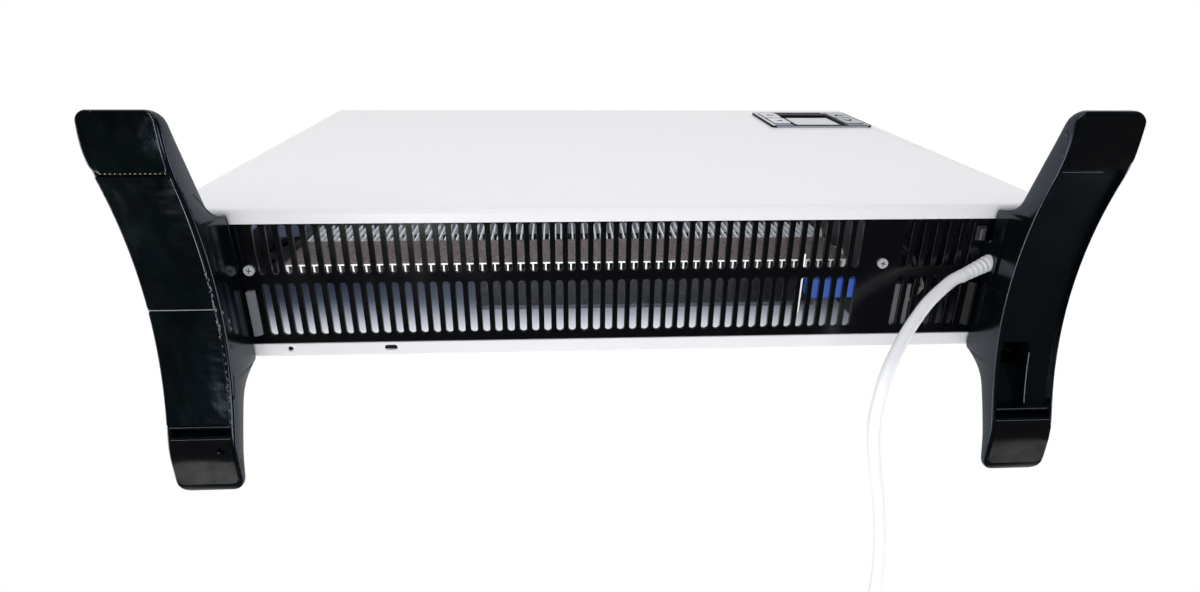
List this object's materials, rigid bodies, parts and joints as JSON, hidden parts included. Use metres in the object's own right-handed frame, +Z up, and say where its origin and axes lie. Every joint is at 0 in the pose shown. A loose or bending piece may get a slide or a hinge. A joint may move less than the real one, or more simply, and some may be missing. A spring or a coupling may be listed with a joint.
{
  "type": "convector heater",
  "caption": "Free-standing electric convector heater: flat pressed-steel casing on two arched feet, slotted air inlet below and outlet above, and a control unit with a display.",
  "frame": {"origin": "on the floor, below the middle of the casing, which lies 3 mm in front of the middle of the feet", "axes": "+Z up, front panel faces -Y, +X to the right seen from the front"},
  "size_m": [0.604, 0.526, 0.465],
  "materials": {
    "white_enamel": "gloss",
    "black_enamel": "satin",
    "grey_enamel": "satin",
    "galvanised": "satin",
    "coated_aluminium": "textured",
    "bright_aluminium": "bright",
    "sheathed_steel": "dull",
    "ceramic": "glazed",
    "blue_plastic": "satin",
    "grey_plastic": "satin",
    "green_board": "satin",
    "black_plastic": "satin",
    "yellow_tape": "satin",
    "brass": "satin",
    "wire_sleeve": "satin",
    "bezel_plastic": "satin",
    "window": "clear",
    "lcd": "satin",
    "light_button": "satin",
    "dark_button": "satin",
    "foot_abs": "satin",
    "leatherette": "grained",
    "pad_rubber": "satin",
    "light_clip": "satin",
    "screw_steel": "bright",
    "cord_pvc": "satin",
    "plug_pins_metal": "bright"
  },
  "bodies": {
    "heater": {"front_panel": "white_enamel", "back_panel": "white_enamel", "inlet_grille": "black_enamel", "outlet_grille": "black_enamel", "compartment_wall": "grey_enamel", "heat_shield": "galvanised", "element_lower": "coated_aluminium", "element_upper": "bright_aluminium", "heating_rod": "sheathed_steel", "rod_insulators": "ceramic", "element_bracket_left": "grey_enamel", "element_strap": "ceramic", "overheat_cutout": "galvanised", "terminal_block": "blue_plastic", "tilt_switch": "grey_plastic", "power_board": "green_board", "board_standoffs": "brass", "power_relays": "black_plastic", "power_transformer": "yellow_tape", "inner_wiring": "wire_sleeve", "room_sensor": "screw_steel", "control_bezel": "bezel_plastic", "display_window": "window", "lcd_panel": "lcd", "control_board": "green_board", "tact_switches": "black_plastic", "foot_left": "foot_abs", "foot_right": "foot_abs", "foot_sole_left": "leatherette", "foot_pad_front_left": "leatherette", "foot_pad_front_right": "pad_rubber", "foot_pad_rear_left": "pad_rubber", "foot_pad_rear_right": "pad_rubber", "foot_clip_left": "light_clip", "foot_clip_right": "black_plastic", "foot_screws": "screw_steel", "grille_screws": "screw_steel", "back_screws": "screw_steel", "cord_gland": "black_plastic", "strain_relief": "cord_pvc", "cord_run": "cord_pvc", "cord_coil": "cord_pvc", "plug_body": "cord_pvc", "plug_pins": "plug_pins_metal", "plug_earth_clips": "plug_pins_metal"},
    "button_power_key": {"button_power": "light_button"},
    "button_mode_key": {"button_mode": "light_button"},
    "button_up_key": {"button_up": "dark_button"},
    "button_down_key": {"button_down": "dark_button"}
  },
  "joints": [
    {"name": "button_power_press", "type": "slide", "parent": "heater", "child": "button_power_key", "axis": [0, 1, 0], "range_m": [0, 0.001], "stiffness_N_per_m": 500},
    {"name": "button_mode_press", "type": "slide", "parent": "heater", "child": "button_mode_key", "axis": [0, 1, 0], "range_m": [0, 0.001], "stiffness_N_per_m": 500},
    {"name": "button_up_press", "type": "slide", "parent": "heater", "child": "button_up_key", "axis": [0, 1, 0], "range_m": [0, 0.001], "stiffness_N_per_m": 500},
    {"name": "button_down_press", "type": "slide", "parent": "heater", "child": "button_down_key", "axis": [0, 1, 0], "range_m": [0, 0.001], "stiffness_N_per_m": 500}
  ]
}
